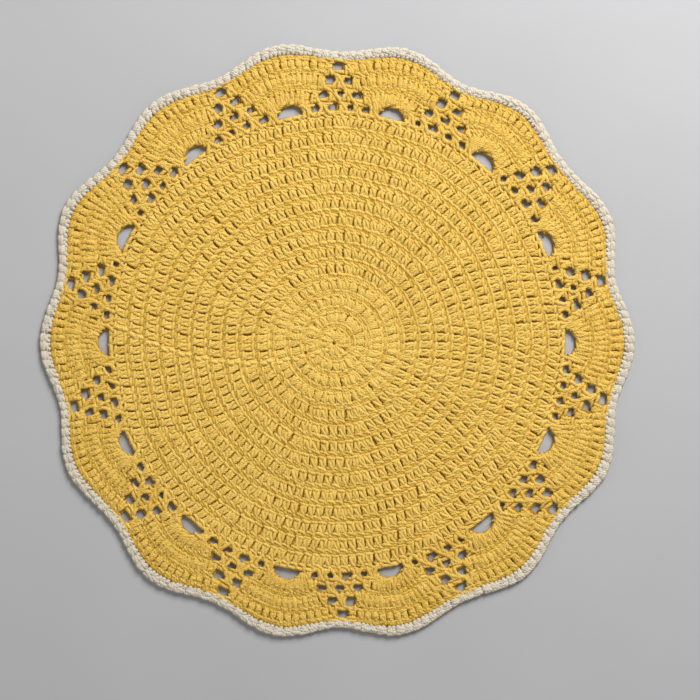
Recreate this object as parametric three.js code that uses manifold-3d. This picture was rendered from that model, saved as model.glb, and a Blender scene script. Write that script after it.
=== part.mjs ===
// Round crochet placemat, lying flat: a disc of double crochet rounds, a border of fans with open
// filet mesh between them, and a contrast edging worked round the scalloped rim.
// Millimetres, +Z up. The mat lies on z = 0 and its starting ring is at the origin.

import * as THREE from 'three';
import { mergeVertices } from 'three/addons/utils/BufferGeometryUtils.js';
import Module from 'manifold-3d';

// Disc of double crochet
const DISC_ROUNDS = 14;
const ROUND_HEIGHT = 10.75;                      // one round, measured along the radius
const DISC_RADIUS = DISC_ROUNDS * ROUND_HEIGHT;
const CREST_THICKNESS = 4.0;                     // at the chain that tops each round
const LINE_THICKNESS = 3.0;                      // at the sunken line between two rounds
const CREST_PLACE = 0.22;                        // share of a round from its inner line to the crest

// Border of fans and mesh panels
const REPEATS = 14;
const FIRST_PANEL = 12.15;                       // degrees from +X to the first mesh panel's middle
const PANEL_LEAN = 0.28;                         // degrees that each mesh row is turned past the last
const EDGING_AT_VALLEY = 4.8;                    // edging width between two fans
const EDGING_AT_TIP = 5.8;                       // edging width at the middle of a fan
const PIECE_GAP = 0.3;                           // between the body and its edging

// Sunken lines between the border's rows: radius at a mesh panel's middle and at a fan's middle
const BORDER_LINES = [
  { atValley: 159.2, atTip: 160.2 },
  { atValley: 167.8, atTip: 170.4 },
  { atValley: 177.0, atTip: 182.4 },
];

// Holes of one mesh panel, row by row from the disc outwards; spacing is in degrees
const MESH_ROWS = [
  { radius: 156.6, count: 4, spacing: 4.15, width: 4.8, height: 4.8 },
  { radius: 165.1, count: 3, spacing: 4.0, width: 5.2, height: 5.0 },
  { radius: 174.2, count: 2, spacing: 3.8, width: 5.6, height: 5.2 },
  { radius: 182.8, count: 1, spacing: 0, width: 6.4, height: 4.6 },
];
const MESH_CORNER = 1.4;                         // cut off each outer corner of a mesh hole

// Half-moon hole under the chain arch that carries each fan
const ARCH_BASE_RADIUS = 153.6;
const ARCH_WIDTH = 16.6;
const ARCH_HEIGHT = 6.4;

// Hand-worked rim, one row for each repeat: turn of its mesh panel in degrees, radius of the valley
// there and of the scallop tip that follows counter-clockwise, and how far the edge of the disc is
// drawn out at that panel and below that fan
const RIM = [
  { turn: 0.3, valley: 190.2, tip: 201.1, panelShift: -2.0, fanShift: -1.2 },
  { turn: 0.1, valley: 193.3, tip: 202.0, panelShift: 0.6, fanShift: -0.2 },
  { turn: 0.1, valley: 190.8, tip: 200.4, panelShift: 0.8, fanShift: -0.2 },
  { turn: -0.5, valley: 192.9, tip: 201.0, panelShift: 1.0, fanShift: -0.4 },
  { turn: -0.8, valley: 192.1, tip: 200.6, panelShift: 0.5, fanShift: 0.8 },
  { turn: -0.7, valley: 192.0, tip: 201.8, panelShift: 0.5, fanShift: 1.3 },
  { turn: 0.5, valley: 189.7, tip: 196.8, panelShift: -0.5, fanShift: -1.7 },
  { turn: 1.1, valley: 188.4, tip: 198.0, panelShift: -3.0, fanShift: -0.4 },
  { turn: 1.0, valley: 191.4, tip: 201.1, panelShift: -0.6, fanShift: 0.0 },
  { turn: 1.3, valley: 191.3, tip: 199.3, panelShift: 0.9, fanShift: 1.3 },
  { turn: 1.4, valley: 189.7, tip: 199.5, panelShift: 0.7, fanShift: 0.8 },
  { turn: 1.3, valley: 192.5, tip: 200.5, panelShift: 0.7, fanShift: 0.6 },
  { turn: 1.1, valley: 191.7, tip: 200.1, panelShift: -0.6, fanShift: -0.7 },
  { turn: 0.7, valley: 191.2, tip: 198.5, panelShift: -1.2, fanShift: -0.4 },
];
const EVEN_VALLEY = 191.2;                       // mean of the valleys above
const EVEN_TIP = 200.1;                          // mean of the tips above

// Section of the edging: share of its width from the inner side, and height. Two crests stand for
// the legs of its stitches and for the chain along the rim.
const EDGING_SECTION = [
  { across: 0, height: 0 },
  { across: 0.9, height: 0 },
  { across: 1, height: 1.6 },
  { across: 0.93, height: 3.2 },
  { across: 0.73, height: 4.1 },
  { across: 0.5, height: 3.4 },
  { across: 0.25, height: 3.9 },
  { across: 0, height: 3.0 },
];

// Fineness of the surfaces
const RIM_STEPS = 8;                             // steps along each scallop
const ROUNDS_PER_STEP = 3;                       // disc rings gain steps after this many rounds
const ARCH_STEPS = 8;
const CUTTER_OVERRUN = 1;                        // cutters reach past both faces

const wasm = await Module();
wasm.setup();

// Rim positions are counted in repeats: a whole number is a valley and a half is a scallop tip.

function rowsAround(position) {
  const index = Math.floor(position);
  const here = RIM[index % REPEATS];
  const next = RIM[(index + 1) % REPEATS];
  return { here, next, share: position - index };
}

function angleAt(position) {
  const { here, next, share } = rowsAround(position);
  const turn = THREE.MathUtils.lerp(here.turn, next.turn, share);
  return THREE.MathUtils.degToRad(FIRST_PANEL + (360 / REPEATS) * position + turn);
}

function swellAt(position) {
  return (1 - Math.cos(2 * Math.PI * position)) / 2;
}

function rimRadius(position) {
  const { here, next, share } = rowsAround(position);
  const valley = THREE.MathUtils.lerp(here.valley, next.valley, share);
  return THREE.MathUtils.lerp(valley, here.tip, swellAt(position));
}

function edgingWidth(position) {
  return THREE.MathUtils.lerp(EDGING_AT_VALLEY, EDGING_AT_TIP, swellAt(position));
}

function bodyRadius(position) {
  return rimRadius(position) - edgingWidth(position) - PIECE_GAP;
}

function edgeShift(position) {
  const { here, next, share } = rowsAround(position);
  const panelShift = share < 0.5 ? here.panelShift : next.panelShift;
  return THREE.MathUtils.lerp(panelShift, here.fanShift, swellAt(position));
}

// Radius on the hand-worked mat of a point whose radius on an even mat is given.
function worked(radius, position) {
  if (radius <= DISC_RADIUS) {
    return radius + edgeShift(position) * (radius / DISC_RADIUS) ** 2;
  }
  const evenRim = THREE.MathUtils.lerp(EVEN_VALLEY, EVEN_TIP, swellAt(position));
  const share = (radius - DISC_RADIUS) / (evenRim - DISC_RADIUS);
  return radius + THREE.MathUtils.lerp(edgeShift(position), rimRadius(position) - evenRim, share);
}

function polar(radius, angle, height) {
  return new THREE.Vector3(radius * Math.cos(angle), radius * Math.sin(angle), height);
}

function discRing(radius, steps, height) {
  const start = angleAt(0);
  return Array.from({ length: steps }, (_, i) =>
    polar(worked(radius, (REPEATS * i) / steps), start + (2 * Math.PI * i) / steps, height));
}

function borderRing(radiusAt, height) {
  return Array.from({ length: REPEATS * RIM_STEPS }, (_, i) => {
    const position = i / RIM_STEPS;
    return polar(radiusAt(position), angleAt(position), height);
  });
}

// Triangles between two closed rings that may differ in their number of points.
function bridge(triangles, first, second) {
  let i = 0;
  let j = 0;
  while (i < first.length || j < second.length) {
    const a = first[i % first.length];
    const b = second[j % second.length];
    if (j >= second.length || (i < first.length && (i + 1) * second.length <= (j + 1) * first.length)) {
      i += 1;
      triangles.push(a, b, first[i % first.length]);
    } else {
      j += 1;
      triangles.push(a, b, second[j % second.length]);
    }
  }
}

function fan(triangles, centre, ring, facesUp) {
  ring.forEach((point, i) => {
    const next = ring[(i + 1) % ring.length];
    triangles.push(centre, facesUp ? point : next, facesUp ? next : point);
  });
}

function geometryOf(triangles) {
  return mergeVertices(new THREE.BufferGeometry().setFromPoints(triangles));
}

function toManifold(geometry) {
  const bare = geometry.clone();
  bare.deleteAttribute('normal');
  bare.deleteAttribute('uv');
  const merged = mergeVertices(bare);
  const vertProperties = new Float32Array(merged.attributes.position.array);
  const triVerts = new Uint32Array(merged.index.array);
  return new wasm.Manifold(new wasm.Mesh({ numProp: 3, vertProperties, triVerts }));
}

function fromManifold(solid) {
  const mesh = solid.getMesh();
  const geometry = new THREE.BufferGeometry();
  geometry.setAttribute('position', new THREE.BufferAttribute(mesh.vertProperties, 3));
  geometry.setIndex(new THREE.BufferAttribute(mesh.triVerts, 1));
  geometry.computeVertexNormals();
  return geometry;
}

function crestBetween(inner, outer) {
  return THREE.MathUtils.lerp(inner, outer, CREST_PLACE);
}

// Body without its holes: a ribbed upper face, an upright rim and a flat underside.
function plainBody() {
  const rings = [];
  for (let round = 0; round < DISC_ROUNDS; round += 1) {
    const inner = round * ROUND_HEIGHT;
    const steps = REPEATS * (1 + Math.floor((round + 1) / ROUNDS_PER_STEP));
    if (round > 0) {
      rings.push(discRing(inner, steps, LINE_THICKNESS));
    }
    rings.push(discRing(crestBetween(inner, inner + ROUND_HEIGHT), steps, CREST_THICKNESS));
  }
  const lineAt = BORDER_LINES.map(({ atValley, atTip }) => (position) =>
    worked(THREE.MathUtils.lerp(atValley, atTip, swellAt(position)), position));
  const limits = [(position) => worked(DISC_RADIUS, position), ...lineAt, bodyRadius];
  limits.slice(0, -1).forEach((inner, row) => {
    const outer = limits[row + 1];
    rings.push(borderRing(inner, LINE_THICKNESS));
    rings.push(borderRing((position) => crestBetween(inner(position), outer(position)), CREST_THICKNESS));
  });
  rings.push(borderRing(bodyRadius, LINE_THICKNESS));
  const foot = borderRing(bodyRadius, 0);

  const triangles = [];
  fan(triangles, new THREE.Vector3(0, 0, LINE_THICKNESS), rings[0], true);
  rings.forEach((ring, i) => bridge(triangles, ring, rings[i + 1] ?? foot));
  fan(triangles, new THREE.Vector3(0, 0, 0), foot, false);
  return geometryOf(triangles);
}

// A mesh hole has a straight foot and the corners cut off below the chain at its top.
function meshHoleShape(width, height) {
  const x = width / 2;
  const y = height / 2;
  const shape = new THREE.Shape();
  shape.moveTo(-x, -y);
  shape.lineTo(x, -y);
  shape.lineTo(x, y - MESH_CORNER);
  shape.lineTo(x - MESH_CORNER, y);
  shape.lineTo(-x + MESH_CORNER, y);
  shape.lineTo(-x, y - MESH_CORNER);
  return shape;
}

function archShape() {
  const shape = new THREE.Shape();
  shape.moveTo(-ARCH_WIDTH / 2, 0);
  shape.lineTo(ARCH_WIDTH / 2, 0);
  shape.absellipse(0, 0, ARCH_WIDTH / 2, ARCH_HEIGHT, 0, Math.PI, false);
  return shape;
}

// Upright cutter whose shape's own +Y points outwards along the radius.
function cutter(shape, radius, angle) {
  const geometry = new THREE.ExtrudeGeometry(shape, {
    depth: CREST_THICKNESS + 2 * CUTTER_OVERRUN,
    bevelEnabled: false,
    curveSegments: ARCH_STEPS,
  });
  geometry.rotateZ(angle - Math.PI / 2);
  geometry.translate(radius * Math.cos(angle), radius * Math.sin(angle), -CUTTER_OVERRUN);
  return geometry;
}

function holeCutters() {
  const cutters = [];
  for (let repeat = 0; repeat < REPEATS; repeat += 1) {
    MESH_ROWS.forEach(({ radius, count, spacing, width, height }, row) => {
      for (let i = 0; i < count; i += 1) {
        const offset = (i - (count - 1) / 2) * spacing + row * PANEL_LEAN;
        const angle = angleAt(repeat) + THREE.MathUtils.degToRad(offset);
        cutters.push(cutter(meshHoleShape(width, height), worked(radius, repeat), angle));
      }
    });
    const fanMiddle = repeat + 0.5;
    cutters.push(cutter(archShape(), worked(ARCH_BASE_RADIUS, fanMiddle), angleAt(fanMiddle)));
  }
  return cutters;
}

function bodyGeometry() {
  let solid = toManifold(plainBody());
  for (const hole of holeCutters()) {
    solid = solid.subtract(toManifold(hole));
  }
  return fromManifold(solid);
}

function edgingGeometry() {
  const rings = EDGING_SECTION.map(({ across, height }) =>
    borderRing((position) => rimRadius(position) - (1 - across) * edgingWidth(position), height));
  const triangles = [];
  rings.forEach((ring, i) => bridge(triangles, rings[(i + 1) % rings.length], ring));
  return geometryOf(triangles);
}

const yellowCotton = new THREE.MeshStandardMaterial({ color: 0xd9b156, roughness: 0.9, metalness: 0 });
const creamCotton = new THREE.MeshStandardMaterial({ color: 0xdcd2be, roughness: 0.9, metalness: 0 });

const body = new THREE.Mesh(bodyGeometry(), yellowCotton);
body.name = 'body';

const edging = new THREE.Mesh(edgingGeometry(), creamCotton);
edging.name = 'edging';

const placemat = new THREE.Group();
placemat.add(body, edging);

export default placemat;
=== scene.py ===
"""Looks of the round crochet placemat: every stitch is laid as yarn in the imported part's own place."""
import math
from typing import NamedTuple

import bpy
import numpy as np
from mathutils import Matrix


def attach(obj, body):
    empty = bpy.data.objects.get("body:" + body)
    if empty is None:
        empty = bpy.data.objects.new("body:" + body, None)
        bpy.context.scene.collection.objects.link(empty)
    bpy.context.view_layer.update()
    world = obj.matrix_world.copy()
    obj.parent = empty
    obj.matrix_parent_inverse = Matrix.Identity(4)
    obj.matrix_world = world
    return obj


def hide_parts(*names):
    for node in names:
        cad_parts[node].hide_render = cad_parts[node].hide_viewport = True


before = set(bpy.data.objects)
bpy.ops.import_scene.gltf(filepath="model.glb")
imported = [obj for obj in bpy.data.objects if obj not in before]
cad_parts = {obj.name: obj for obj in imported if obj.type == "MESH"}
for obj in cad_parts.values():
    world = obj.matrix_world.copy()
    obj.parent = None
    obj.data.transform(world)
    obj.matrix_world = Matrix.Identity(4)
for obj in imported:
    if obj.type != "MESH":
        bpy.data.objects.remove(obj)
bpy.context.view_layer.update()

MM = 0.001
SEED = 14
rng = np.random.default_rng(SEED)

# Disc and border, as in the part's source: lengths in millimetres, angles in degrees
DISC_ROUNDS = 14
ROUND_HEIGHT = 10.75
DISC_RADIUS = DISC_ROUNDS * ROUND_HEIGHT
REPEATS = 14
REPEAT_ANGLE = 360 / REPEATS
FIRST_PANEL = 12.15
PANEL_LEAN = 0.28
EVEN_VALLEY = 191.2
EVEN_TIP = 200.1
EDGING_AT_VALLEY = 4.8
EDGING_AT_TIP = 5.8
PIECE_GAP = 0.3
BODY_AT_VALLEY = EVEN_VALLEY - EDGING_AT_VALLEY - PIECE_GAP
BODY_AT_TIP = EVEN_TIP - EDGING_AT_TIP - PIECE_GAP

# Hand-worked rim, one row for each repeat: turn of its mesh panel, radius of the valley there and of
# the scallop tip that follows counter-clockwise, and how far the edge of the disc is drawn out at
# that panel and below that fan
RIM = np.array([
    (0.3, 190.2, 201.1, -2.0, -1.2),
    (0.1, 193.3, 202.0, 0.6, -0.2),
    (0.1, 190.8, 200.4, 0.8, -0.2),
    (-0.5, 192.9, 201.0, 1.0, -0.4),
    (-0.8, 192.1, 200.6, 0.5, 0.8),
    (-0.7, 192.0, 201.8, 0.5, 1.3),
    (0.5, 189.7, 196.8, -0.5, -1.7),
    (1.1, 188.4, 198.0, -3.0, -0.4),
    (1.0, 191.4, 201.1, -0.6, 0.0),
    (1.3, 191.3, 199.3, 0.9, 1.3),
    (1.4, 189.7, 199.5, 0.7, 0.8),
    (1.3, 192.5, 200.5, 0.7, 0.6),
    (1.1, 191.7, 200.1, -0.6, -0.7),
    (0.7, 191.2, 198.5, -1.2, -0.4),
])
TURN, VALLEY, TIP, PANEL_SHIFT, FAN_SHIFT = RIM.T

# Holes of one mesh panel: radius, count, spacing in degrees, width and height
MESH_HOLES = (
    (156.6, 4, 4.15, 4.8, 4.8),
    (165.1, 3, 4.0, 5.2, 5.0),
    (174.2, 2, 3.8, 5.6, 5.2),
    (182.8, 1, 0.0, 6.4, 4.6),
)
ARCH_BASE_RADIUS = 153.6
ARCH_WIDTH = 16.6
ARCH_HEIGHT = 6.4

# Stitches of the disc: each round has twelve groups, and each group gains a stitch every round, where two
# posts share one seat. The first rounds are worked close, and the start lies a little off centre.
GROUPS = 12
GROUP_ANGLE = 360 / GROUPS
SEAM_ANGLE = 202.2
SEAM_DRIFT = 2.0
STITCH_WIDTH = 2 * math.pi * ROUND_HEIGHT / GROUPS
HEAD_OFFSET = 0.24
PAIR_OFFSET = 0.22
PAIR_WIDTH = 0.62
CLOSE_ROUNDS = 4
CLOSE_WIDTH = 1.15
START_RADIUS = 0.4
START_WIDTH = 0.8
START_SHIFT = np.array([-2.0, -1.2])
START_REACH = 24

# Yarn: its plies turn once in YARN_LAY, and a laid length is wider than it is high
YARN_RADIUS = 1.08
BACK_YARN_RADIUS = 0.95
YARN_LAY = 7.0
PLIES = 4
YARN_SPREAD = 1.18
YARN_RISE = 0.86
END_TAPER = 0.6

# Hand-made unevenness, as the spread of random draws
WANDER = 0.15
THICKNESS_SPREAD = 0.05
POST_SWAY = 0.055
STITCH_LIFT = 0.08
CHAIN_DRIFT = 0.12
EDGING_JITTER = 0.05

# Bake layout: each length of yarn has a cell of its own, with its side in the middle of the cell and its
# two ends as small discs beside it, all as shares of the cell
CELL_MARGIN = 0.04
SIDE_FROM = 0.08
SIDE_TO = 0.92
END_MIDDLES = (0.04, 0.96)
END_DISC_LENGTH = 0.03
END_DISC_WIDTH = 0.4


def lerp(first, second, share):
    return first + (second - first) * share


# Places on the mat: rim positions are counted in repeats, whole at a valley and half at a tip

def between(column, position):
    """A column of the rim table, read between its rows."""
    index = np.floor(position).astype(int)
    return lerp(column[index % REPEATS], column[(index + 1) % REPEATS], position - index)


def swell_at(position):
    """Zero at a valley and one at a tip."""
    return (1 - np.cos(2 * np.pi * position)) / 2


def worked(radius, position):
    """Radius on the hand-worked mat of a point whose radius on an even mat is given."""
    swell = swell_at(position)
    panel = PANEL_SHIFT[np.round(position).astype(int) % REPEATS]
    repeat = np.floor(position).astype(int) % REPEATS
    edge_shift = lerp(panel, FAN_SHIFT[repeat], swell)
    even_rim = lerp(EVEN_VALLEY, EVEN_TIP, swell)
    rim_shift = lerp(between(VALLEY, position), TIP[repeat], swell) - even_rim
    inside = edge_shift * (radius / DISC_RADIUS) ** 2
    outside = lerp(edge_shift, rim_shift, (radius - DISC_RADIUS) / (even_rim - DISC_RADIUS))
    return radius + np.where(radius <= DISC_RADIUS, inside, outside)


def polar(angle, radius, height):
    turned = np.radians(angle)
    x, y, z = np.broadcast_arrays(radius * np.cos(turned), radius * np.sin(turned), height)
    return np.stack([x, y, z], axis=-1)


def on_disc(angle, radius, height):
    """A disc point; the rounds near the middle are drawn towards the off-centre start."""
    place = polar(angle, worked(radius, (angle - FIRST_PANEL) / REPEAT_ANGLE), height)
    pull = np.maximum(1 - np.broadcast_to(radius, place.shape[:-1]) / START_REACH, 0) ** 2
    place[..., :2] += pull[..., None] * START_SHIFT
    return place


def on_border(angle, radius, height):
    """A border point; its angle is counted from the first mesh panel on an even mat."""
    position = angle / REPEAT_ANGLE
    return polar(FIRST_PANEL + angle + between(TURN, position), worked(radius, position), height)


# Yarn as mesh: smooth tubes through control points, many at a time

def curve_weights(controls, samples):
    """Weights that turn control points into points on a smooth curve through them."""
    weights = np.zeros((samples, controls))
    for row, place in enumerate(np.linspace(0, controls - 1, samples)):
        span = min(int(place), controls - 2)
        t = place - span
        factors = (
            -0.5 * t + t**2 - 0.5 * t**3,
            1 - 2.5 * t**2 + 1.5 * t**3,
            0.5 * t + 2 * t**2 - 1.5 * t**3,
            -0.5 * t**2 + 0.5 * t**3,
        )
        for step, factor in enumerate(factors):
            weights[row, min(max(span + step - 1, 0), controls - 1)] += factor
    return weights


def tube_points(line, thickness, sides):
    """Points of a flattened tube along each line, ring after ring, and the length of each step along it."""
    along = np.gradient(line, axis=1)
    step_length = np.linalg.norm(along, axis=2, keepdims=True)
    along = along / step_length
    upright = np.array([0.0, 0.0, 1.0]) - along[..., 2:3] * along
    upright /= np.linalg.norm(upright, axis=2, keepdims=True)
    sideways = np.cross(along, upright)
    turn = np.linspace(0, 2 * np.pi, sides, endpoint=False)[:, None]
    taper = np.ones(line.shape[1])
    taper[[0, -1]] = END_TAPER
    reach = (thickness[:, None] * taper)[:, :, None, None]
    across = YARN_SPREAD * np.cos(turn) * sideways[:, :, None]
    rise = YARN_RISE * np.sin(turn) * upright[:, :, None]
    points = (line[:, :, None] + reach * (across + rise)).reshape(-1, 3)
    points[:, 2] = np.maximum(points[:, 2], 0)
    return points, step_length[..., 0]


class YarnPile:
    """Lengths of yarn that become one joined mesh."""

    def __init__(self, shade=0.0):
        self.shade = shade
        self.points = []
        self.shades = []
        self.corners = []
        self.face_sizes = []
        self.yarn_uv = []
        self.cell_uv = []
        self.cells = []
        self.point_count = 0
        self.strand_count = 0

    def lay(self, paths, radius, rings, sides, shade=0.0, wander=WANDER):
        """Adds a tube along each path of control points, given in millimetres."""
        strands = len(paths)
        paths = paths + rng.normal(0, wander, paths.shape)
        line = np.einsum("rc,ncx->nrx", curve_weights(paths.shape[1], rings), paths)
        thickness = radius * rng.normal(1, THICKNESS_SPREAD, strands)
        points, step_length = tube_points(line, thickness, sides)
        shades = rng.normal(self.shade + shade, 1, strands)
        length = np.cumsum(step_length, axis=1) + rng.uniform(0, YARN_LAY, (strands, 1))
        self.points.append(points)
        self.shades.append(np.repeat(shades, rings * sides))
        self._add_sides(length / YARN_LAY, sides)
        self._add_ends(length / YARN_LAY, sides)
        self.point_count += strands * rings * sides
        self.strand_count += strands

    def _add_sides(self, turns, sides):
        """Adds the faces round each tube; turns counts the twist of the plies up to each ring."""
        strands, rings = turns.shape
        first = self.point_count + np.arange(strands)[:, None, None] * rings * sides
        ring = np.arange(rings - 1)[:, None]
        side = np.arange(sides)
        after = (side + 1) % sides
        near = first + ring * sides
        far = near + sides
        corners = np.stack([near + side, far + side, far + after, near + after], axis=-1)
        corner_ring = np.stack([ring, ring + 1, ring + 1, ring], axis=-1)
        corner_side = np.stack([side, side, side + 1, side + 1], axis=-1)
        along = np.linspace(SIDE_FROM, SIDE_TO, rings)
        self._add_faces(corners, 4, turns[:, corner_ring], corner_side / sides, along[corner_ring])

    def _add_ends(self, turns, sides):
        """Closes each tube with a flat face at both ends."""
        strands, rings = turns.shape
        first = self.point_count + np.arange(strands)[:, None] * rings * sides
        side = np.arange(sides)
        disc = np.linspace(0, 2 * np.pi, sides, endpoint=False)
        for end, order, middle in ((0, 1, END_MIDDLES[0]), (rings - 1, -1, END_MIDDLES[1])):
            along = middle + END_DISC_LENGTH * np.cos(disc[::order])
            around = 0.5 + END_DISC_WIDTH * np.sin(disc[::order])
            corners = first + end * sides + side[::order]
            self._add_faces(corners, sides, turns[:, [end]], around, along)

    def _add_faces(self, corners, size, turns, around, along):
        """Adds faces of so many corners, each corner with its place round its yarn and along it."""
        spread = [np.broadcast_to(value, corners.shape).ravel() for value in (turns, around, along)]
        turns, around, along = spread
        strands = len(corners)
        strand = self.strand_count + np.arange(strands)
        self.corners.append(corners.ravel())
        self.face_sizes.append(np.full(corners.size // size, size))
        self.yarn_uv.append(np.stack([turns, around], axis=1))
        self.cell_uv.append(np.stack([along, around], axis=1))
        self.cells.append(np.repeat(strand, corners.size // strands))

    def piece(self, name, material):
        """The pile as an object in the scene."""
        mesh = bpy.data.meshes.new(name)
        points = np.concatenate(self.points) * MM
        corners = np.concatenate(self.corners)
        sizes = np.concatenate(self.face_sizes)
        mesh.vertices.add(len(points))
        mesh.vertices.foreach_set("co", points.ravel())
        mesh.loops.add(len(corners))
        mesh.loops.foreach_set("vertex_index", corners.astype(np.int32))
        mesh.polygons.add(len(sizes))
        mesh.polygons.foreach_set("loop_start", (np.cumsum(sizes) - sizes).astype(np.int32))
        mesh.polygons.foreach_set("use_smooth", np.ones(len(sizes), dtype=bool))
        mesh.update(calc_edges=True)

        columns = math.ceil(math.sqrt(self.strand_count / 2))
        rows = math.ceil(self.strand_count / columns)
        cell = np.concatenate(self.cells)
        origin = np.stack([cell % columns, cell // columns], axis=1)
        in_cell = CELL_MARGIN + (1 - 2 * CELL_MARGIN) * np.concatenate(self.cell_uv)
        atlas = (origin + in_cell) / (columns, rows)
        mesh.uv_layers.new(name="OFBake").data.foreach_set("uv", atlas.ravel())
        mesh.uv_layers.new(name="Yarn").data.foreach_set("uv", np.concatenate(self.yarn_uv).ravel())
        shade = mesh.attributes.new("shade", "FLOAT", "POINT")
        shade.data.foreach_set("value", np.concatenate(self.shades))
        return add_object(name, mesh, material)


def add_object(name, mesh, material):
    mesh.materials.append(material)
    thing = bpy.data.objects.new(name, mesh)
    bpy.context.scene.collection.objects.link(thing)
    return thing


class Strand(NamedTuple):
    """One length of yarn in a stitch: its control points, the radius of its tube, how many rings of
    points that has, how many points a ring has, and how much paler it is drawn, where the darker row chains
    are painted shade of their recess."""
    points: list
    radius: float = YARN_RADIUS
    rings: int = 6
    sides: int = 6
    shade: float = 0.0


# A double crochet post: a leg on each side, a front strand that slants from the head to the clockwise
# leg, a filling behind them, a loop on the back, and the yarn that runs along the row at its foot and at
# its head. Each point is across the stitch as a share of its width (clockwise is positive), up it as a
# share of its height, and a height over the table.
LEFT_LEG = Strand([(-0.36, 0.20, 2.2), (-0.28, 0.34, 2.6), (-0.268, 0.50, 2.65), (-0.265, 0.66, 2.6),
                   (-0.24, 0.82, 2.3)], rings=5, sides=5)
FRONT = Strand([(-0.30, 0.90, 2.3), (-0.14, 0.80, 2.7), (0.02, 0.70, 2.75), (0.14, 0.57, 2.75),
                (0.25, 0.42, 2.65), (0.26, 0.20, 2.2)], rings=7, sides=5)
HEAD_LEG = Strand([(0.25, 0.46, 2.2), (0.265, 0.60, 2.5), (0.272, 0.72, 2.5), (0.30, 0.84, 2.3)],
                  1.02, 4, 5)
HEAD = Strand([(0.72, 0.83, 2.2), (0.45, 0.83, 2.5), (0.12, 0.85, 2.65), (-0.14, 0.90, 2.7),
               (-0.32, 0.98, 2.55), (-0.44, 1.07, 2.2)], 1.05, 6, 5)
FOOT = Strand([(-0.60, 0.25, 2.2), (-0.28, 0.23, 2.5), (0.08, 0.20, 2.55), (0.40, 0.16, 2.4),
               (0.64, 0.11, 2.0)], 1.15, 5, 5)
FILLING = Strand([(-0.05, 0.10, 1.8), (-0.02, 0.28, 2.1), (0.0, 0.48, 1.72), (0.05, 0.85, 2.2)],
                 1.45, 4, 5)
BACK_LOOP = Strand([(0.24, 0.12, 1.5), (0.2, 0.6, 0.95), (0.0, 0.95, 1.0), (-0.2, 0.6, 0.95),
                    (-0.24, 0.12, 1.5)], BACK_YARN_RADIUS, 5, 5)
POST = (LEFT_LEG, FRONT, HEAD_LEG, HEAD, FOOT, FILLING, BACK_LOOP)

# Near the middle and in the fans the rows run level, and the posts stand so close that little gap is left.
# In a fan the yarn round the middle of each post shows as well.
LEVEL_HEAD = Strand([(0.72, 0.87, 2.2), (0.45, 0.87, 2.5), (0.12, 0.88, 2.65), (-0.14, 0.90, 2.7),
                     (-0.32, 0.94, 2.55), (-0.44, 0.99, 2.2)], 1.05, 6, 5)
LEVEL_FOOT = Strand([(-0.60, 0.22, 2.2), (-0.28, 0.21, 2.5), (0.08, 0.20, 2.55), (0.40, 0.18, 2.4),
                     (0.64, 0.16, 2.0)], 1.15, 5, 5)
FULL_FILLING = Strand([(-0.05, 0.06, 2.1), (0.0, 0.35, 2.4), (0.0, 0.65, 2.35), (0.05, 0.92, 2.3)],
                      1.6, 4, 5)
CLOSE_POST = (LEFT_LEG, FRONT, HEAD_LEG, LEVEL_HEAD, LEVEL_FOOT, FULL_FILLING, BACK_LOOP)
WRAP = Strand([(-0.44, 0.36, 2.2), (-0.12, 0.45, 2.8), (0.16, 0.53, 2.85), (0.44, 0.58, 2.3)],
              1.22, 4, 5)
FAN_POST = (*CLOSE_POST, WRAP)

# The first post of each round is a column of chain, smoother and narrower than the others
SEAM_POST = (
    Strand([(-0.16, 0.02, 2.0), (-0.10, 0.16, 2.85), (0.02, 0.34, 2.9), (0.12, 0.54, 2.3)], 1.2, 5, 6, 2.2),
    Strand([(-0.14, 0.46, 2.2), (-0.08, 0.60, 2.85), (0.04, 0.78, 2.9), (0.14, 0.98, 2.3)], 1.2, 5, 6, 2.2),
    Strand([(0.24, 0.04, 1.8), (0.25, 0.25, 2.5), (0.21, 0.50, 2.6), (0.25, 0.75, 2.5), (0.15, 0.92, 2.0)],
           rings=6, sides=5),
    Strand([(-0.40, 0.10, 1.8), (-0.30, 0.30, 2.4), (-0.28, 0.60, 2.4), (-0.25, 0.85, 2.1)],
           rings=4, sides=5),
    HEAD,
    FOOT,
    Strand([(0.05, 0.06, 1.8), (0.05, 0.45, 2.0), (0.05, 0.88, 2.1)], 1.3, 4, 5),
    BACK_LOOP,
)

# The same post where it is worked round a chain: its foot goes over the chain and under it
WRAPPED_POST = (
    Strand([(-0.42, -0.10, 1.0), (-0.38, 0.03, 2.9), (-0.30, 0.22, 2.9), (-0.245, 0.44, 2.75),
            (-0.23, 0.62, 2.65), (-0.18, 0.80, 2.3)], rings=7, sides=5),
    Strand([(-0.30, 0.88, 2.3), (-0.12, 0.79, 2.75), (0.03, 0.68, 2.8), (0.14, 0.55, 2.8),
            (0.23, 0.40, 2.75), (0.26, 0.22, 2.9), (0.32, 0.03, 2.9), (0.35, -0.10, 1.0)], rings=9, sides=5),
    HEAD_LEG,
    LEVEL_HEAD,
    Strand([(0.02, -0.10, 1.0), (0.02, 0.06, 2.5), (0.0, 0.40, 2.2), (0.05, 0.90, 2.3)], 1.3, 5, 5),
    WRAP,
    BACK_LOOP,
)

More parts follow.
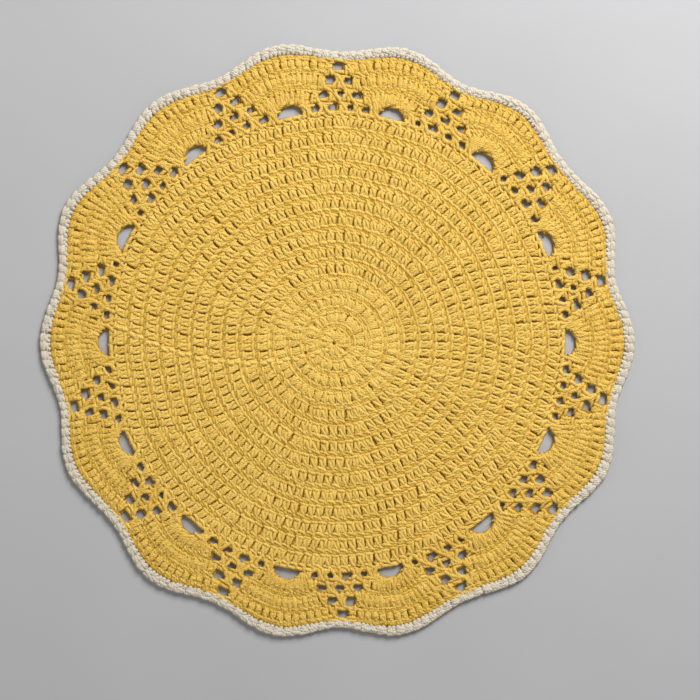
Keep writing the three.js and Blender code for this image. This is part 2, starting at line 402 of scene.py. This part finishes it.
# A post of the open mesh stands alone, so it is drawn in at the middle
MESH_POST = (
    Strand([(-0.46, -0.12, 1.0), (-0.42, 0.0, 2.8), (-0.32, 0.16, 2.9), (-0.21, 0.36, 2.75),
            (-0.18, 0.54, 2.7), (-0.22, 0.74, 2.6), (-0.34, 0.90, 2.3)], 1.15, 9),
    Strand([(-0.50, 1.08, 1.9), (-0.36, 1.0, 2.5), (-0.18, 0.88, 2.75), (-0.02, 0.74, 2.8), (0.10, 0.58, 2.8),
            (0.19, 0.40, 2.75), (0.28, 0.20, 2.9), (0.38, 0.02, 2.8), (0.42, -0.12, 1.0)], 1.15, 12),
    Strand([(0.13, 0.50, 2.2), (0.18, 0.64, 2.5), (0.25, 0.78, 2.55), (0.38, 0.90, 2.4)], 1.15, 5),
    HEAD,
    Strand([(0.0, -0.10, 1.0), (0.0, 0.06, 2.6), (0.0, 0.45, 2.2), (0.0, 0.88, 2.2)], 1.2, 6, 5),
    BACK_LOOP,
)

# Chain along the top of a row: across as a share of the stitch, millimetres out from the row's line,
# and height over the table. It lies deep between the rows of posts, and it stands free in the mesh.
BACK_CHAIN = Strand([(-0.6, 0.8, 1.5), (0.0, 1.35, 0.95), (0.6, 1.9, 1.5)], BACK_YARN_RADIUS, 3, 5)
# The row chains are drawn darker and deeper yellow through their negative shade: painted shade of the recess
# between the rows.
ROW_CHAIN = (
    Strand([(-0.62, 0.55, 1.6), (-0.3, 0.45, 1.85), (0.1, 0.3, 1.85), (0.42, 0.2, 1.8), (0.62, 0.2, 1.6)],
           1.45, 5, 6, -4.0),
    BACK_CHAIN,
)
CLOSE_CHAIN = (
    Strand([(-0.62, 0.6, 1.8), (-0.3, 0.5, 2.05), (0.1, 0.45, 2.05), (0.42, 0.4, 2.0), (0.62, 0.4, 1.8)],
           1.45, 5, 6, -3.0),
    BACK_CHAIN,
)
MESH_CHAIN = (
    Strand([(-0.62, 1.7, 1.4), (-0.3, 1.6, 2.4), (0.1, 1.2, 2.6), (0.5, 0.8, 2.2), (0.72, 0.6, 1.2)]),
    Strand([(-0.62, 0.5, 1.4), (-0.3, 0.7, 2.1), (0.1, 1.3, 2.2), (0.5, 1.8, 2.0), (0.72, 2.0, 1.2)]),
    BACK_CHAIN,
)


def lay_posts(pile, place, base, top, strands, unevenness=1.0):
    """Lays a row of posts; base and top each give angle, radius and stitch width as arrays."""
    count = len(base[0])
    sway_low, sway_high = rng.normal(0, POST_SWAY * unevenness, (2, count, 1))
    lift = rng.normal(0, STITCH_LIFT, (count, 1))
    for strand in strands:
        across, up, height = np.transpose(strand.points)
        share = np.clip(up, 0, 1)
        angle = lerp(base[0][:, None], top[0][:, None], share)
        distance = lerp(base[1][:, None], top[1][:, None], up)
        width = lerp(base[2][:, None], top[2][:, None], share)
        shift = across + lerp(sway_low, sway_high, share)
        angle = angle - np.degrees(shift * width / distance)
        path = place(angle, distance, height + lift)
        pile.lay(path, strand.radius, strand.rings, strand.sides, strand.shade, WANDER * unevenness)


def lay_chain(pile, place, angle, line, width, strands):
    """Lays the chain along a row; line gives the row's radius at any angle."""
    drift = rng.normal(0, CHAIN_DRIFT, (len(angle), 1))
    for strand in strands:
        across, out, height = np.transpose(strand.points)
        spot = angle[:, None] - np.degrees(across * width / line(angle)[:, None])
        path = place(spot, line(spot) + out + drift, height)
        pile.lay(path, strand.radius, strand.rings, strand.sides, strand.shade)


def level_line(radius):
    """A line at the same radius all the way round."""
    return lambda angle: np.full(np.shape(angle), radius)


def even_line(at_valley, at_tip):
    """A line that swells evenly from each mesh panel to the middle of each fan."""
    return lambda angle: lerp(at_valley, at_tip, swell_at(angle / REPEAT_ANGLE))


def arched_line(at_valley, at_fan, rise, half_width):
    """A line that runs level over the mesh and bows out over each fan; half_width is in degrees."""
    def radius_at(angle):
        apart = np.mod(angle, REPEAT_ANGLE) - REPEAT_ANGLE / 2
        bow = np.maximum(1 - (apart / half_width) ** 2, 0)
        return lerp(at_valley, at_fan, swell_at(angle / REPEAT_ANGLE)) + rise * bow
    return radius_at


# Disc rounds

def group_start(round_number):
    return SEAM_ANGLE - SEAM_DRIFT * round_number


def disc_round(number):
    """One round of the disc: its posts, the seam post that starts it, and the chain along its top."""
    pile = YarnPile()
    close = number <= CLOSE_ROUNDS
    group = np.repeat(np.arange(GROUPS), number)
    place_in_group = np.tile(np.arange(number), GROUPS)
    top_angle = group_start(number) + GROUP_ANGLE * (group + (place_in_group + 0.5) / number)
    count = len(top_angle)
    stitch = STITCH_WIDTH * (CLOSE_WIDTH if close else 1)
    head_angle = top_angle + HEAD_OFFSET * GROUP_ANGLE / number
    top = (head_angle, np.full(count, number * ROUND_HEIGHT), np.full(count, stitch))
    if number == 1:
        base = (top_angle, np.full(count, START_RADIUS), np.full(count, START_WIDTH))
    else:
        below = number - 1
        seat = np.maximum(place_in_group - 1, 0)
        paired = place_in_group < 2
        offset = np.where(place_in_group == 0, -PAIR_OFFSET, PAIR_OFFSET) * paired
        base_angle = group_start(below) + GROUP_ANGLE * (group + (seat + 0.5 + offset) / below)
        base_width = np.where(paired, PAIR_WIDTH, 1.0) * stitch
        base = (base_angle, np.full(count, below * ROUND_HEIGHT), base_width)
    seam = (group == 0) & (place_in_group == 0)
    plain_post = CLOSE_POST if close else POST
    for chosen, strands in ((~seam, plain_post), (seam, SEAM_POST)):
        chosen_base = [column[chosen] for column in base]
        chosen_top = [column[chosen] for column in top]
        lay_posts(pile, on_disc, chosen_base, chosen_top, strands)
    chain = CLOSE_CHAIN if close else ROW_CHAIN
    if number == DISC_ROUNDS:
        chain = MESH_CHAIN
    lay_chain(pile, on_disc, top_angle, level_line(number * ROUND_HEIGHT), STITCH_WIDTH, chain)
    return pile


# Border rounds: four rows of filet mesh and fans, and the line along the top of each row. Angles are in
# degrees from a mesh panel's middle.
# The border yarn is drawn a little darker: painted shade, for the shade its close-set stitches hold.
BORDER_PAINTED_SHADE = -2.0
LAST_INSET_AT_VALLEY = 1.2
LAST_INSET_AT_TIP = 2.3
LINES = (
    level_line(159.2),
    arched_line(at_valley=167.8, at_fan=166.8, rise=4.4, half_width=6.6),
    arched_line(at_valley=177.0, at_fan=177.4, rise=5.0, half_width=9.4),
    even_line(BODY_AT_VALLEY - LAST_INSET_AT_VALLEY, BODY_AT_TIP - LAST_INSET_AT_TIP),
)

# Mesh, row by row: angle between two posts, posts that stand free of the fans, chain stitches to each side
# of the middle, and the radius at which their width is taken
MESH_STEPS = (4.15, 4.05, 3.85, 3.8)
MESH_POSTS = (5, 2, 1, 0)
MESH_CHAIN_REACH = (4, 3, 2, 1)
MESH_CHAIN_RADIUS = (160, 168, 177, 186)
MESH_POST_WIDTH = 9.4
MESH_UNEVENNESS = 2.0

# Fans, row by row: stitches, and the angle from the panel's middle to the first of them
FAN_STITCHES = (0, 12, 16, 15)
FAN_EDGES = (0, 6.1, 3.85, 1.9)
FAN_CHAIN_RADIUS = 178
FAN_UNEVENNESS = 1.1
FAN_FOOT_WIDTH = 4.4
FAN_END_WIDTH = 6.4
FAN_END_LEAN = np.array([0.0, -0.7])

# Chain arch that carries each fan: two strands twisted together over the half-moon hole
ARCH_MIDDLE = REPEAT_ANGLE / 2
ARCH_CHAIN_HALF_WIDTH = 10.6
ARCH_CHAIN_HEIGHT = 8.5
ARCH_CHAIN_TURNS = np.linspace(178, 2, 15)
ARCH_CHAIN_RINGS = 29
ARCH_CHAIN_SIDES = 6
ARCH_FEET = (158, 10)
ARCH_FOOT_WIDTH = 3.0
TWIST_RATE = 5
TWIST_HEIGHT = 2.0
TWIST_RISE = 0.85
TWIST_REACH = 0.75


def arch_point(turn):
    """Angle and radius on the arch chain, where turn runs from 180 degrees down to 0."""
    across = ARCH_CHAIN_HALF_WIDTH * np.cos(np.radians(turn))
    radius = ARCH_BASE_RADIUS + ARCH_CHAIN_HEIGHT * np.sin(np.radians(turn))
    return ARCH_MIDDLE + np.degrees(across / ARCH_BASE_RADIUS), radius


def every_repeat(angles):
    """The same angles in each repeat, one repeat after the other."""
    return (np.arange(REPEATS)[:, None] * REPEAT_ANGLE + np.asarray(angles)).ravel()


def mesh_posts(row):
    """Angles of the posts inside a mesh panel, without the ones that begin and end a fan."""
    count = MESH_POSTS[row]
    return (np.arange(count) - (count - 1) / 2) * MESH_STEPS[row] + row * PANEL_LEAN


def fan_tops(row):
    """Angles of a fan's stitches along its top."""
    edge = FAN_EDGES[row]
    return np.linspace(edge, REPEAT_ANGLE - edge, FAN_STITCHES[row]) + row * PANEL_LEAN


def lay_row(pile, row, base, top, strands, unevenness):
    """Lays the same posts in each repeat. Base gives their angles, radii and width, and top gives angles
    and width, with the row's line as radius."""
    base_angle, base_radius, base_width = base
    top_angle, top_width = top
    count = REPEATS * len(top_angle)
    all_tops = every_repeat(top_angle)
    all_base = (every_repeat(base_angle), np.tile(base_radius, REPEATS), np.full(count, base_width))
    all_top = (all_tops, LINES[row](all_tops), np.full(count, top_width))
    lay_posts(pile, on_border, all_base, all_top, strands, unevenness)


def lay_mesh_posts(pile, row):
    angles = mesh_posts(row)
    line_below = level_line(DISC_RADIUS) if row == 0 else LINES[row - 1]
    base = (angles, line_below(angles), MESH_POST_WIDTH)
    lay_row(pile, row, base, (angles, MESH_POST_WIDTH), MESH_POST, MESH_UNEVENNESS)


def lay_fan(pile, row):
    """Lays a fan in each repeat: its two end posts, and then the posts between them."""
    line_below = LINES[row - 1]
    tops = fan_tops(row)
    ends = tops[[0, -1]]
    feet = ends + FAN_END_LEAN
    end_base = (feet, line_below(feet), FAN_END_WIDTH)
    lay_row(pile, row, end_base, (ends, FAN_END_WIDTH), WRAPPED_POST, MESH_UNEVENNESS)
    inner = tops[1:-1]
    width = math.radians(tops[1] - tops[0]) * LINES[row](np.array(ARCH_MIDDLE))
    if row == 1:
        foot_angle, foot_radius = arch_point(np.linspace(*ARCH_FEET, len(inner)))
        base = (foot_angle, foot_radius, ARCH_FOOT_WIDTH)
        posts = WRAPPED_POST
    else:
        below = fan_tops(row - 1)
        foot_angle = np.linspace(below[0], below[-1], len(inner))
        base = (foot_angle, line_below(foot_angle), FAN_FOOT_WIDTH)
        posts = FAN_POST
    lay_row(pile, row, base, (inner, width), posts, FAN_UNEVENNESS)


def lay_arch_chain(pile):
    angle, radius = arch_point(ARCH_CHAIN_TURNS)
    spots = every_repeat(angle).reshape(REPEATS, -1)
    for phase in (0, np.pi):
        twist = np.radians(ARCH_CHAIN_TURNS) * TWIST_RATE + phase
        height = TWIST_HEIGHT + TWIST_RISE * np.cos(twist)
        out = TWIST_REACH * np.sin(twist)
        path = on_border(spots, radius + out, height)
        pile.lay(path, YARN_RADIUS, ARCH_CHAIN_RINGS, ARCH_CHAIN_SIDES)


def border_round(row):
    """One row of the border: its mesh posts, the arch chains or the fans, and the chain along its top."""
    pile = YarnPile(BORDER_PAINTED_SHADE)
    if MESH_POSTS[row] > 0:
        lay_mesh_posts(pile, row)
    if row == 0:
        lay_arch_chain(pile)
    else:
        lay_fan(pile, row)
        fan = fan_tops(row)
        fan_width = math.radians(fan[1] - fan[0]) * FAN_CHAIN_RADIUS
        lay_chain(pile, on_border, every_repeat(fan[1:-1]), LINES[row], fan_width, CLOSE_CHAIN)
    step = MESH_STEPS[row] / 2
    reach = MESH_CHAIN_REACH[row]
    mesh_chain = np.arange(-reach, reach + 1) * step + row * PANEL_LEAN
    mesh_width = math.radians(step) * MESH_CHAIN_RADIUS[row]
    lay_chain(pile, on_border, every_repeat(mesh_chain), LINES[row], mesh_width, MESH_CHAIN)
    return pile


# Edging: single crochet in the contrast yarn, fifteen to a repeat. Points are across the stitch as a
# share of its width, out from the body's edge as a share of the edging's width, and a height.
EDGING_STITCHES = 15
EDGING_STITCH = (
    Strand([(-0.36, -0.12, 1.3), (-0.31, 0.03, 2.3), (-0.22, 0.24, 2.5), (-0.10, 0.48, 2.4)], 1.3, 4, 5),
    Strand([(0.14, -0.12, 1.3), (0.19, 0.03, 2.3), (0.28, 0.24, 2.5), (0.40, 0.48, 2.4)], 1.3, 4, 5),
    Strand([(-0.58, 0.76, 2.15), (-0.3, 0.71, 2.55), (0.0, 0.64, 2.7), (0.35, 0.57, 2.6), (0.68, 0.52, 2.15)],
           1.28),
    Strand([(-0.58, 0.72, 2.05), (-0.25, 0.79, 2.4), (0.05, 0.84, 2.5), (0.4, 0.87, 2.4), (0.72, 0.86, 2.0)],
           1.28),
    Strand([(-0.62, 0.66, 1.4), (-0.2, 0.72, 1.15), (0.2, 0.74, 1.15), (0.62, 0.70, 1.4)], 1.12, 4, 5),
    Strand([(-0.6, 0.36, 2.4), (0.0, 0.38, 2.45), (0.6, 0.36, 2.4)], 1.55, 3, 6),
    Strand([(-0.25, -0.25, 1.4), (-0.22, 0.1, 1.0), (-0.1, 0.5, 1.0), (0.1, 0.5, 1.0), (0.22, 0.1, 1.0),
            (0.25, -0.25, 1.4)], 1.0, 6, 5),
)


def edging_round():
    pile = YarnPile()
    inner = even_line(BODY_AT_VALLEY, BODY_AT_TIP)
    outer = even_line(EVEN_VALLEY, EVEN_TIP)
    step = REPEAT_ANGLE / EDGING_STITCHES
    middle = np.arange(REPEATS * EDGING_STITCHES) * step
    middle = middle + rng.normal(0, EDGING_JITTER, middle.shape) * step
    for strand in EDGING_STITCH:
        across, out, height = np.transpose(strand.points)
        spot = middle[:, None] - across * step
        radius = lerp(inner(spot), outer(spot), out)
        lift = rng.normal(0, STITCH_LIFT, (len(middle), 1))
        pile.lay(on_border(spot, radius, height + lift), strand.radius, strand.rings, strand.sides)
    return pile


# Ground: the thin sheet that closes the cloth between its front and its back yarn; its dark colour is painted
# shade in the slits between stitches.
# It reaches a little into the edging, and its holes are a little wider than those of the part's solid.
GROUND_LOW = 1.45
GROUND_HIGH = 1.75
GROUND_OVERLAP = 1.0
EDGE_STEPS = 24
HOLE_GROWTH = 0.35
HOLE_CORNER = 1.2
ARCH_HOLE_POINTS = 13
ARCH_HOLE_DROP = 0.2


def mesh_hole(width, height):
    """Corners of a mesh hole round its middle, with its two outer corners cut off."""
    x = width / 2 + HOLE_GROWTH
    y = height / 2 + HOLE_GROWTH
    cut = HOLE_CORNER
    return np.array([(-x, -y), (x, -y), (x, y - cut), (x - cut, y), (-x + cut, y), (-x, y - cut)])


def arch_hole():
    """Corners of a half-moon hole round the middle of its straight side."""
    turn = np.linspace(0, np.pi, ARCH_HOLE_POINTS)
    x = (ARCH_WIDTH / 2 + HOLE_GROWTH) * np.cos(turn)
    y = (ARCH_HEIGHT + HOLE_GROWTH) * np.sin(turn)
    return np.stack([x, y], axis=1)


def place_outline(angle, radius, corners):
    """Corners round a hole's middle, with their second number outwards, as points on the mat."""
    middle = on_border(np.array(angle), np.array(radius), 0)
    outwards = middle[:2] / np.linalg.norm(middle[:2])
    sideways = np.array([-outwards[1], outwards[0]])
    return middle[:2] + corners[:, :1] * sideways + corners[:, 1:] * outwards


def hole_outlines():
    outlines = []
    for repeat in range(REPEATS):
        for row, (radius, count, spacing, width, height) in enumerate(MESH_HOLES):
            for number in range(count):
                angle = repeat * REPEAT_ANGLE + (number - (count - 1) / 2) * spacing + row * PANEL_LEAN
                outlines.append(place_outline(angle, radius, mesh_hole(width, height)))
        arch_angle = (repeat + 0.5) * REPEAT_ANGLE
        outlines.append(place_outline(arch_angle, ARCH_BASE_RADIUS - ARCH_HOLE_DROP, arch_hole()))
    return outlines


def outline_area(outline):
    x, y = outline.T
    return abs(np.sum(x * np.roll(y, -1) - y * np.roll(x, -1))) / 2


def filled_mesh(outlines):
    """The mesh of a flat sheet; its first outline is its edge and the others are its holes."""
    curve = bpy.data.curves.new("ground_outline", "CURVE")
    curve.dimensions = "2D"
    curve.fill_mode = "BOTH"
    curve.extrude = (GROUND_HIGH - GROUND_LOW) / 2 * MM
    for outline in outlines:
        spline = curve.splines.new("POLY")
        spline.points.add(len(outline) - 1)
        points = np.zeros((len(outline), 4))
        points[:, :2] = outline * MM
        points[:, 3] = 1
        spline.points.foreach_set("co", points.ravel())
        spline.use_cyclic_u = True
    outline_object = bpy.data.objects.new("ground_outline", curve)
    bpy.context.scene.collection.objects.link(outline_object)
    seen = bpy.context.evaluated_depsgraph_get()
    mesh = bpy.data.meshes.new_from_object(outline_object.evaluated_get(seen))
    bpy.data.objects.remove(outline_object)
    bpy.data.curves.remove(curve)
    mesh.materials.clear()
    return mesh


def ground_piece(material):
    """The ground as an object in the scene, and its area in square metres."""
    edge_angle = np.arange(REPEATS * EDGE_STEPS) * REPEAT_ANGLE / EDGE_STEPS
    edge_radius = even_line(BODY_AT_VALLEY, BODY_AT_TIP)(edge_angle) + GROUND_OVERLAP
    edge = on_border(edge_angle, edge_radius, 0)[:, :2]
    holes = hole_outlines()
    mesh = filled_mesh([edge, *holes])
    mesh.name = "ground"
    places = np.zeros(len(mesh.vertices) * 3)
    mesh.vertices.foreach_get("co", places)
    places[2::3] += (GROUND_LOW + GROUND_HIGH) / 2 * MM
    mesh.vertices.foreach_set("co", places)
    area = (outline_area(edge) - sum(outline_area(hole) for hole in holes)) * MM * MM
    return add_object("ground", mesh, material), area


# Materials: the tone of the yarn runs from 0 for its deep colour to 1 for its light one; part of the low tone
# is painted shade, in the ply grooves and on low-lying yarn
BASE_TONE = 0.20
PLY_GROOVE_SHADE = 0.30
FIBRE_TONE = 0.40
DYE_TONE = 0.25
SHADE_TONE = 0.06
# Painted shade on low-lying yarn: its tone is scaled by the low share below the first height, rising to full
# tone at the second height.
RECESS_SHADE_TONE = 0.5
RECESS_SHADE_FROM = 2.1
RECESS_SHADE_TO = 3.45
FIBRES_AROUND = 30.0
FIBRES_ALONG = 4.0
FIBRE_RELIEF = 0.5
FIBRE_ROUGHNESS = 0.2
LEAST_ROUGHNESS = 0.52

YELLOW_DEEP = (0.46, 0.24, 0.002, 1)
YELLOW_LIGHT = (0.87, 0.60, 0.150, 1)
YELLOW_SHEEN = (1.0, 0.8, 0.35, 1)
CREAM_DEEP = (0.52, 0.45, 0.33, 1)
CREAM_LIGHT = (0.64, 0.58, 0.475, 1)
CREAM_SHEEN = (1.0, 0.97, 0.9, 1)
# Dark yellow of the ground sheet: painted shade for the deep slits between stitches
SLIT_SHADE_DEEP = (0.34, 0.16, 0.003, 1)
SLIT_SHADE_LIGHT = (0.5, 0.26, 0.01, 1)
FLOOR_DARK = (0.40, 0.40, 0.41, 1)
FLOOR_PALE = (0.45, 0.45, 0.46, 1)

# Small red-brown flecks in the cotton: middle and size in metres, and colour
FLECKS = (
    ((-0.0200, -0.0073, 0.004), 0.0017, (0.33, 0.06, 0.01, 1)),
    ((0.0307, -0.0180, 0.004), 0.0015, (0.35, 0.08, 0.015, 1)),
)


def add_node(material, kind, settings=None, **inputs):
    """Adds a node; an input that is a socket is linked, and any other is set. An input is named by its
    own name, or by its place, as in i0."""
    tree = material.node_tree
    node = tree.nodes.new(kind)
    for name, value in (settings or {}).items():
        setattr(node, name, value)
    for name, value in inputs.items():
        key = int(name[1:]) if name[1:].isdigit() else name.replace("_", " ")
        socket = node.inputs[key]
        if isinstance(value, bpy.types.NodeSocket):
            tree.links.new(value, socket)
        else:
            socket.default_value = value
    return node


def maths(material, operation, *values):
    inputs = {f"i{index}": value for index, value in enumerate(values)}
    return add_node(material, "ShaderNodeMath", {"operation": operation}, **inputs).outputs[0]


def blend_colours(material, share, first, second):
    node = add_node(material, "ShaderNodeMix", {"data_type": "RGBA"}, i0=share, i6=first, i7=second)
    return node.outputs[2]


def new_material(name):
    material = bpy.data.materials.new(name)
    material.use_nodes = True
    return material, material.node_tree.nodes["Principled BSDF"]


def spot_mask(material, place, middle, size):
    """One at a small spot on the mat and zero away from it."""
    apart = add_node(material, "ShaderNodeVectorMath", {"operation": "DISTANCE"}, i0=place, i1=middle)
    mask = add_node(material, "ShaderNodeMapRange", {"interpolation_type": "SMOOTHSTEP"},
                    Value=apart.outputs["Value"], From_Min=size * 0.5, From_Max=size, To_Min=1.0, To_Max=0.0)
    return mask.outputs[0]


def yarn_material(name, deep_colour, light_colour, sheen_colour, flecks=()):
    """Plied cotton: rounded plies with painted shade in the grooves between them, fine fibres, uneven dye,
    and painted shade on yarn that lies low between the stitches, so that yarn standing high is paler."""
    material, shader = new_material(name)
    uv = add_node(material, "ShaderNodeUVMap", {"uv_map": "Yarn"}).outputs[0]
    place = add_node(material, "ShaderNodeTexCoord").outputs["Object"]
    split = add_node(material, "ShaderNodeSeparateXYZ", i0=uv)
    turns, around = split.outputs[0], split.outputs[1]
    winding = maths(material, "ADD", turns, around)
    wave = maths(material, "SINE", maths(material, "MULTIPLY", winding, math.pi * PLIES))
    ply = maths(material, "ABSOLUTE", wave)
    fibre_place = add_node(material, "ShaderNodeCombineXYZ",
                           i0=maths(material, "MULTIPLY", winding, FIBRES_AROUND),
                           i1=maths(material, "MULTIPLY", turns, FIBRES_ALONG)).outputs[0]
    fibre = add_node(material, "ShaderNodeTexNoise", Vector=fibre_place, Scale=1.6, Detail=3.0).outputs[0]
    dye = add_node(material, "ShaderNodeTexNoise", Vector=place, Scale=55.0, Detail=2.0).outputs[0]
    shade = add_node(material, "ShaderNodeAttribute", {"attribute_name": "shade"}).outputs["Fac"]

    height = add_node(material, "ShaderNodeSeparateXYZ", i0=place).outputs[2]
    # Painted shade: the tone drops where the yarn lies low, between the stitches.
    recess_shade = add_node(material, "ShaderNodeMapRange", {"interpolation_type": "SMOOTHSTEP"}, Value=height,
                      From_Min=RECESS_SHADE_FROM * MM, From_Max=RECESS_SHADE_TO * MM, To_Min=RECESS_SHADE_TONE).outputs[0]

    # Painted shade in the ply grooves, where the ply wave is low; then fibres and uneven dye
    tone = maths(material, "MULTIPLY_ADD", ply, PLY_GROOVE_SHADE, BASE_TONE)
    tone = maths(material, "MULTIPLY_ADD", fibre, FIBRE_TONE, tone)
    tone = maths(material, "MULTIPLY_ADD", dye, DYE_TONE, tone)
    tone = maths(material, "MULTIPLY", tone, recess_shade)
    tone = maths(material, "MULTIPLY_ADD", shade, SHADE_TONE, tone)
    tone = maths(material, "MINIMUM", maths(material, "MAXIMUM", tone, 0.0), 1.0)
    colour = blend_colours(material, tone, deep_colour, light_colour)
    for middle, size, fleck_colour in flecks:
        mask = spot_mask(material, place, middle, size)
        colour = blend_colours(material, mask, colour, fleck_colour)
    material.node_tree.links.new(colour, shader.inputs["Base Color"])

    relief = maths(material, "MULTIPLY_ADD", fibre, FIBRE_RELIEF, ply)
    bump = add_node(material, "ShaderNodeBump", Height=relief, Strength=0.8, Distance=0.00025)
    material.node_tree.links.new(bump.outputs[0], shader.inputs["Normal"])
    rough = maths(material, "MULTIPLY_ADD", fibre, FIBRE_ROUGHNESS, LEAST_ROUGHNESS)
    material.node_tree.links.new(rough, shader.inputs["Roughness"])
    shader.inputs["Specular IOR Level"].default_value = 0.15
    shader.inputs["Sheen Weight"].default_value = 0.08
    shader.inputs["Sheen Roughness"].default_value = 0.5
    shader.inputs["Sheen Tint"].default_value = sheen_colour
    return material


def ground_material():
    """Dark yellow for the ground sheet: painted shade, seen only deep in the slits between stitches."""
    material, shader = new_material("painted_slit_shade")
    place = add_node(material, "ShaderNodeTexCoord").outputs["Object"]
    strands = add_node(material, "ShaderNodeTexWave", Vector=place, Scale=160.0, Distortion=6.0, Detail=2.0)
    wave = strands.outputs["Fac"]
    colour = blend_colours(material, wave, SLIT_SHADE_DEEP, SLIT_SHADE_LIGHT)
    material.node_tree.links.new(colour, shader.inputs["Base Color"])
    bump = add_node(material, "ShaderNodeBump", Height=wave, Strength=0.5, Distance=0.0003)
    material.node_tree.links.new(bump.outputs[0], shader.inputs["Normal"])
    shader.inputs["Roughness"].default_value = 0.95
    return material


yellow = yarn_material("yellow_cotton_yarn", YELLOW_DEEP, YELLOW_LIGHT, YELLOW_SHEEN, FLECKS)
cream = yarn_material("cream_cotton_yarn", CREAM_DEEP, CREAM_LIGHT, CREAM_SHEEN)

# The pieces
yarn_pieces = []
for number in range(1, DISC_ROUNDS + 1):
    yarn_pieces.append(disc_round(number).piece(f"round_{number:02d}", yellow))
for row in range(len(LINES)):
    yarn_pieces.append(border_round(row).piece(f"round_{DISC_ROUNDS + 1 + row:02d}", yellow))
edging = edging_round().piece("edging_stitches", cream)
ground, ground_area = ground_piece(ground_material())

for piece in [*yarn_pieces, ground, edging]:
    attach(piece, "root")
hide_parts("body")
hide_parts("edging")

# Floor, light and camera, in metres. The camera looks straight down, and the part's origin lies a little
# to the left of the view's middle and above it.
PIXEL = 0.6678 * MM
VIEW_PIXELS = 700
VIEW_MIDDLE = (14 * PIXEL, -8 * PIXEL)
CAMERA_HEIGHT = 0.92
SENSOR_WIDTH = 36
FLOOR_HALF = 8.0
FLOOR_DROP = 0.0001


def add_floor():
    material, shader = new_material("pale_floor")
    place = add_node(material, "ShaderNodeTexCoord").outputs["Object"]
    grain = add_node(material, "ShaderNodeTexNoise", Vector=place, Scale=9.0, Detail=4.0)
    colour = blend_colours(material, grain.outputs[0], FLOOR_DARK, FLOOR_PALE)
    material.node_tree.links.new(colour, shader.inputs["Base Color"])
    shader.inputs["Roughness"].default_value = 0.6
    mesh = bpy.data.meshes.new("floor")
    half = FLOOR_HALF
    corners = [(-half, -half, 0), (half, -half, 0), (half, half, 0), (-half, half, 0)]
    mesh.from_pydata(corners, [], [(0, 1, 2, 3)])
    floor = add_object("floor", mesh, material)
    floor.location.z = -FLOOR_DROP


def add_area_light(name, place, size, power):
    """A square light that faces the part's origin."""
    light = bpy.data.lights.new(name, "AREA")
    light.size = size
    light.energy = power
    lamp = bpy.data.objects.new(name, light)
    lamp.location = place
    lamp.rotation_euler = (-lamp.location).to_track_quat("-Z", "Y").to_euler()
    bpy.context.scene.collection.objects.link(lamp)


def add_world(colour, strength):
    world = bpy.data.worlds.new("studio")
    world.use_nodes = True
    background = world.node_tree.nodes["Background"]
    background.inputs["Color"].default_value = colour
    background.inputs["Strength"].default_value = strength
    bpy.context.scene.world = world


def add_camera():
    camera = bpy.data.cameras.new("camera")
    camera.sensor_width = SENSOR_WIDTH
    camera.lens = SENSOR_WIDTH * CAMERA_HEIGHT / (VIEW_PIXELS * PIXEL)
    thing = bpy.data.objects.new("camera", camera)
    thing.location = (*VIEW_MIDDLE, CAMERA_HEIGHT)
    bpy.context.scene.collection.objects.link(thing)
    bpy.context.scene.camera = thing


add_floor()
add_area_light("window", place=(0.62, 1.10, 1.0), size=0.7, power=36.0)
add_area_light("left_wall", place=(-1.5, 0.2, 0.75), size=1.2, power=5.4)
add_area_light("front_wall", place=(0.3, -1.5, 0.75), size=1.2, power=5.0)
add_world(colour=(1.0, 0.98, 0.94, 1), strength=0.2)
bpy.context.scene.view_settings.view_transform = "Standard"
add_camera()
